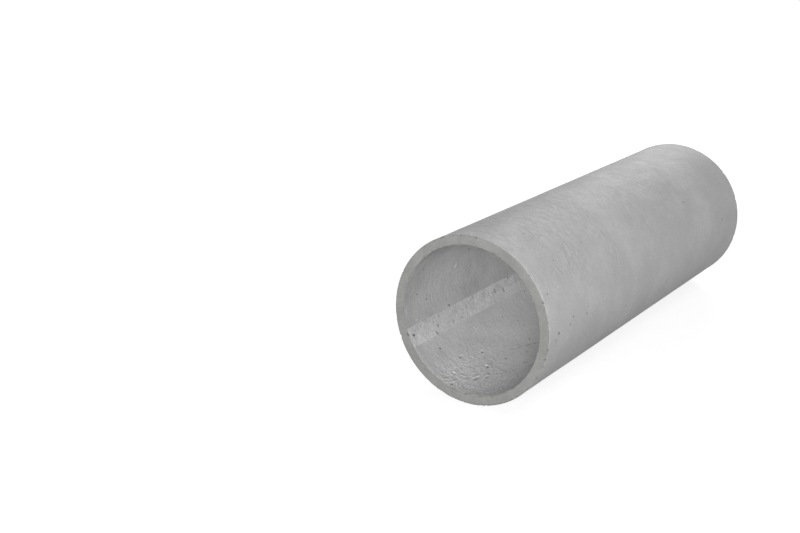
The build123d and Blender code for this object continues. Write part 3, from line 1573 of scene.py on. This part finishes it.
@dataclass
class CrispBreaks:
    """Shades the skin smooth and keeps the edges of voids and chips crisp."""

    angle: float = math.radians(38)

    def run_on(self, piece: bpy.types.Object, material: bpy.types.Material) -> None:
        """Sets the shading of a piece.

        Args:
            piece: the object that carries the modifiers.
            material: the material that the piece keeps for now.
        """
        form = FormTree("crisp_breaks", {"Angle": self.angle}, takes_geometry=True)
        smooth = form.add(
            "GeometryNodeSetShadeSmooth",
            {"Geometry": form.given("Geometry"), "Shade Smooth": True},
            domain="FACE",
        )
        bend = form.add("GeometryNodeInputMeshEdgeAngle", out="Unsigned Angle")
        limit = {"A": bend, "B": form.given("Angle")}
        broken = form.add("FunctionNodeCompare", limit, operation="GREATER_THAN")
        crisp = form.add(
            "GeometryNodeSetShadeSmooth",
            {"Geometry": smooth, "Selection": broken, "Shade Smooth": False},
            domain="EDGE",
        )
        form.close(piece, crisp, material)


@dataclass(frozen=True)
class BakeSheet:
    """How the pipe lies on the sheet that its looks are baked to, as shares of the sheet.

    The outside lies on the left and the bore on the right, with one end ring as a strip above each.
    """

    edge: float = 0.005
    half: float = 0.5
    turn: float = 0.48
    barrel_foot: float = 0.01
    barrel_run: float = 0.89
    ring_foot: float = 0.92
    ring_run: float = 0.07


@dataclass
class PipeBarrel:
    """The whole pipe as one closed mesh with its three finishes."""

    wall: PipeWall
    finishes: dict[CastFace, ConcreteFinish]
    ring_margin: float = 1.2 * MM
    sheet: BakeSheet = BakeSheet()

    def layers(self) -> list[Layer]:
        """Lists the wall and what is worked into it.

        Returns:
            The layers in order.
        """
        dabs = CoreDabs(
            axis_height=self.wall.outer_radius,
            spacing=20 * MM,
            density=190.0,
            smallest=2.2 * MM,
            largest=7.5 * MM,
            cluster_size=150 * MM,
            seed=23,
        )
        voids = AirVoids(
            axis_height=self.wall.outer_radius,
            spacing=8 * MM,
            density=1000.0,
            smallest=0.8 * MM,
            largest=3.0 * MM,
            cluster_size=120 * MM,
            seed=11,
        )
        return [
            self.wall,
            dabs,
            PlacedMarks("placed_dabs", self.wall, Side.BORE, 1.0 * MM, BORE_DABS, raised=True),
            voids,
            PlacedMarks("placed_voids", self.wall, Side.OUTSIDE, 0.4 * MM, OUTSIDE_VOIDS),
            PlacedMarks("placed_bore_voids", self.wall, Side.BORE, 0.8 * MM, BORE_VOIDS),
            RimChips(self.wall),
            LooseFlakes(),
            CrispBreaks(),
        ]

    def build(self) -> bpy.types.Object:
        """Makes the pipe's mesh, sorts its faces by finish and unrolls it.

        Returns:
            The finished piece, at the origin.
        """
        materials = {face: self.finishes[face].material() for face in CastFace}
        scaffold = bpy.data.objects.new("pipe_scaffold", bpy.data.meshes.new("pipe_scaffold"))
        bpy.context.scene.collection.objects.link(scaffold)
        for layer in self.layers():
            layer.run_on(scaffold, materials[CastFace.MOULD])
        graph = bpy.context.evaluated_depsgraph_get()
        mesh = bpy.data.meshes.new_from_object(scaffold.evaluated_get(graph))
        bpy.data.objects.remove(scaffold)
        mesh.name = "cast_pipe"
        mesh.materials.clear()
        for face in CastFace:
            mesh.materials.append(materials[face])
        kinds = self.sort_faces(mesh)
        self.unroll(mesh, kinds)
        piece = bpy.data.objects.new("cast_pipe", mesh)
        bpy.context.scene.collection.objects.link(piece)
        return piece

    def depths(self, points: np.ndarray) -> np.ndarray:
        """Measures how far points lie below the true mould, core and end faces.

        Args:
            points: places, one a row.

        Returns:
            One row a point, one column a face in the order of CastFace, in metres.
        """
        radius = np.hypot(points[:, 1], points[:, 2] - self.wall.outer_radius)
        below = {
            CastFace.MOULD: self.wall.outer_radius - radius,
            CastFace.CORE: radius - self.wall.bore_radius,
            CastFace.END_RING: self.wall.length / 2 - np.abs(points[:, 0]),
        }
        return np.stack([below[face] for face in CastFace], axis=1)

    def sort_faces(self, mesh: bpy.types.Mesh) -> np.ndarray:
        """Gives each face the finish of the nearest true face, and rims and chips that of the end rings.

        Args:
            mesh: the pipe's mesh.

        Returns:
            The number of each face's finish.
        """
        middles = np.empty(3 * len(mesh.polygons))
        mesh.polygons.foreach_get("center", middles)
        below = self.depths(middles.reshape(-1, 3))
        below[:, CastFace.END_RING.value] -= self.ring_margin
        kinds = below.argmin(axis=1)
        broken = np.empty(len(mesh.polygons), dtype=np.float32)
        mesh.attributes[BREAK_SHADE_ATTRIBUTE].data.foreach_get("value", broken)
        kinds[(broken > CHIPPED / 2) & (broken < SHADED_HOLLOW / 2)] = CastFace.END_RING.value
        mesh.polygons.foreach_set("material_index", kinds.astype(np.int32))
        mesh.update()
        return kinds

    def unroll(self, mesh: bpy.types.Mesh, kinds: np.ndarray) -> None:
        """Lays the pipe flat on the bake sheet.

        Args:
            mesh: the pipe's mesh.
            kinds: the number of each face's finish.
        """
        points = np.empty(3 * len(mesh.vertices))
        mesh.vertices.foreach_get("co", points)
        corners = np.empty(len(mesh.loops), dtype=np.int32)
        mesh.loops.foreach_get("vertex_index", corners)
        starts = np.empty(len(mesh.polygons), dtype=np.int32)
        mesh.polygons.foreach_get("loop_start", starts)
        counts = np.empty(len(mesh.polygons), dtype=np.int32)
        mesh.polygons.foreach_get("loop_total", counts)
        x, y, z = points.reshape(-1, 3)[corners].T
        z = z - self.wall.outer_radius
        angle = np.arctan2(y, z)
        wraps = np.maximum.reduceat(angle, starts) - np.minimum.reduceat(angle, starts) > math.pi
        angle = np.where(np.repeat(wraps, counts) & (angle < 0), angle + math.tau, angle)
        kind = np.repeat(kinds, counts)
        thickness = self.wall.outer_radius - self.wall.bore_radius
        across = (np.hypot(y, z) - self.wall.bore_radius) / thickness
        ring = kind == CastFace.END_RING.value
        right = (kind == CastFace.CORE.value) | (ring & (x > 0))
        sheet = self.sheet
        u = sheet.edge + sheet.half * right + sheet.turn * (angle + math.pi) / math.tau
        on_ring = sheet.ring_foot + sheet.ring_run * across
        on_barrel = sheet.barrel_foot + sheet.barrel_run * (x / self.wall.length + 0.5)
        v = np.where(ring, on_ring, on_barrel)
        flat = mesh.uv_layers.new(name=BAKE_MAP)
        flat.data.foreach_set("uv", np.stack([u, v], axis=1).astype(np.float32).ravel())


@dataclass(frozen=True)
class SoftLamp:
    """A soft lamp, hung by its bearing and height as seen from the middle of the pipe."""

    name: str
    bearing: float
    height: float
    width: float
    depth: float
    power: float
    distance: float = 4.0
    in_gloss: bool = True

    def hang(self, target: Vector) -> None:
        """Hangs the lamp so that it looks at the target.

        Args:
            target: the place that it looks at.
        """
        bearing, height = math.radians(self.bearing), math.radians(self.height)
        flat = math.cos(height)
        way = Vector((flat * math.cos(bearing), flat * math.sin(bearing), math.sin(height)))
        data = bpy.data.lights.new(self.name, "AREA")
        data.shape = "RECTANGLE"
        data.size = self.width
        data.size_y = self.depth
        data.energy = self.power
        lamp = bpy.data.objects.new(self.name, data)
        lamp.location = target + self.distance * way
        lamp.rotation_euler = (-way).to_track_quat("-Z", "Y").to_euler()
        lamp.visible_camera = False
        lamp.visible_glossy = self.in_gloss
        bpy.context.scene.collection.objects.link(lamp)


# One lamp from the front fills the bore, two on the side and one behind round the barrel off, and the last
# lights the far side. The front one is a plain fill: in the gloss it would burn out the barrel as seen from
# the far end.
LAMPS = (
    SoftLamp("front_lamp", bearing=200, height=12, width=1.2, depth=1.2, power=156, in_gloss=False),
    SoftLamp("side_lamp", bearing=270, height=12, width=1.2, depth=1.2, power=34),
    SoftLamp("high_side_lamp", bearing=270, height=60, width=1.2, depth=1.2, power=22),
    SoftLamp("back_lamp", bearing=16, height=22, width=1.8, depth=1.2, power=80),
    SoftLamp("far_side_lamp", bearing=100, height=6, width=1.2, depth=0.6, power=54),
)


@dataclass
class Studio:
    """A pale floor, plain soft lamps and the camera."""

    camera_place: tuple[float, float, float] = (-2.4737, -1.1624, 0.9940)
    camera_heading: float = math.radians(33.80)
    camera_fall: float = math.radians(17.34)
    lens: float = 57.35
    sensor: float = 36.0
    lamp_target: tuple[float, float, float] = (0.0, 0.0, OUTER_RADIUS)
    floor_reach: float = 30.0
    floor_colour: str = "#959595"
    floor_glow: float = 0.82
    glow_run: tuple[float, float] = (0.8, 2.4)
    sky_level: float = 0.12

    def build(self) -> None:
        """Makes the camera, the lamps, the sky and the floor."""
        self.camera()
        for lamp in LAMPS:
            lamp.hang(Vector(self.lamp_target))
        self.sky()
        self.floor()

    def camera(self) -> None:
        """Puts the camera where the photograph was taken from."""
        heading, fall = self.camera_heading, self.camera_fall
        flat = math.cos(fall)
        way = (flat * math.cos(heading), flat * math.sin(heading), -math.sin(fall))
        data = bpy.data.cameras.new("camera")
        data.lens = self.lens
        data.sensor_width = self.sensor
        camera = bpy.data.objects.new("camera", data)
        camera.location = self.camera_place
        camera.rotation_euler = Vector(way).to_track_quat("-Z", "Y").to_euler()
        bpy.context.scene.collection.objects.link(camera)
        bpy.context.scene.camera = camera

    def seen(self, graph: Graph) -> Socket:
        """Tells the rays that show the background from those that light the pipe.

        Args:
            graph: the tree of the sky or of the floor's material.

        Returns:
            One for a ray from the camera, a gloss or a see-through surface, and nought for the others.
        """
        kinds = ("Camera", "Glossy", "Transmission")
        rays = [graph.add("ShaderNodeLightPath", None, f"Is {kind} Ray") for kind in kinds]
        first = graph.add("ShaderNodeMath", {0: rays[0], 1: rays[1]}, operation="MAXIMUM")
        return graph.add("ShaderNodeMath", {0: first, 1: rays[2]}, operation="MAXIMUM")

    def sky(self) -> None:
        """Shows white behind everything, and fills the shadows a little."""
        world = bpy.data.worlds.new("studio")
        world.use_nodes = True
        graph = Graph(world.node_tree)
        levels = {"Factor": self.seen(graph), "A": self.sky_level, "B": 1.0}
        level = graph.add("ShaderNodeMix", levels, data_type="FLOAT")
        glow = graph.add("ShaderNodeBackground", {"Color": linear("#FFFFFF"), "Strength": level})
        graph.add("ShaderNodeOutputWorld", {"Surface": glow})
        bpy.context.scene.world = world

    def floor(self) -> None:
        """Lays the pale floor, white away from the pipe, that takes the pipe's shadow."""
        reach = self.floor_reach
        mesh = bpy.data.meshes.new("floor")
        square = [(-reach, -reach, 0), (reach, -reach, 0), (reach, reach, 0), (-reach, reach, 0)]
        mesh.from_pydata(square, [], [(0, 1, 2, 3)])
        made = bpy.data.materials.new("pale_studio_floor")
        made.use_nodes = True
        graph = Graph(made.node_tree)
        place = graph.add("ShaderNodeTexCoord", out="Object")
        away = graph.add("ShaderNodeVectorMath", {0: place}, "Value", operation="LENGTH")
        near, far = self.glow_run
        ends = {"From Min": near, "From Max": far, "To Min": self.floor_glow, "To Max": 1.0}
        level = graph.add(
            "ShaderNodeMapRange", {"Value": away, **ends}, interpolation_type="SMOOTHSTEP"
        )
        lift = graph.add("ShaderNodeMath", {0: self.seen(graph), 1: level}, operation="MULTIPLY")
        matt = graph.add("ShaderNodeBsdfDiffuse", {"Color": linear(self.floor_colour)})
        glow = graph.add("ShaderNodeEmission", {"Strength": lift})
        both = graph.add("ShaderNodeAddShader", {0: matt, 1: glow})
        graph.add("ShaderNodeOutputMaterial", {"Surface": both})
        mesh.materials.append(made)
        floor = bpy.data.objects.new("floor", mesh)
        bpy.context.scene.collection.objects.link(floor)


def main() -> None:
    """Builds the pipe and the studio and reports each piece."""
    logging.basicConfig(level=logging.INFO, format="%(name)s: %(message)s")
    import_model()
    finishes = {CastFace.MOULD: MOULD_CAST, CastFace.CORE: CORE_CAST, CastFace.END_RING: STRUCK_END}
    pipe = PipeBarrel(PipeWall(), finishes).build()
    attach(pipe, "root")
    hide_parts(PIPE_NODE)
    pipe.data.calc_loop_triangles()
    LOG.info("%s: %d triangles", pipe.name, len(pipe.data.loop_triangles))
    Studio().build()
    LOG.info("studio: %d lamps, a floor and a camera", len(LAMPS))
    bpy.context.scene.view_settings.view_transform = "Standard"


if __name__ == "__main__":
    main()
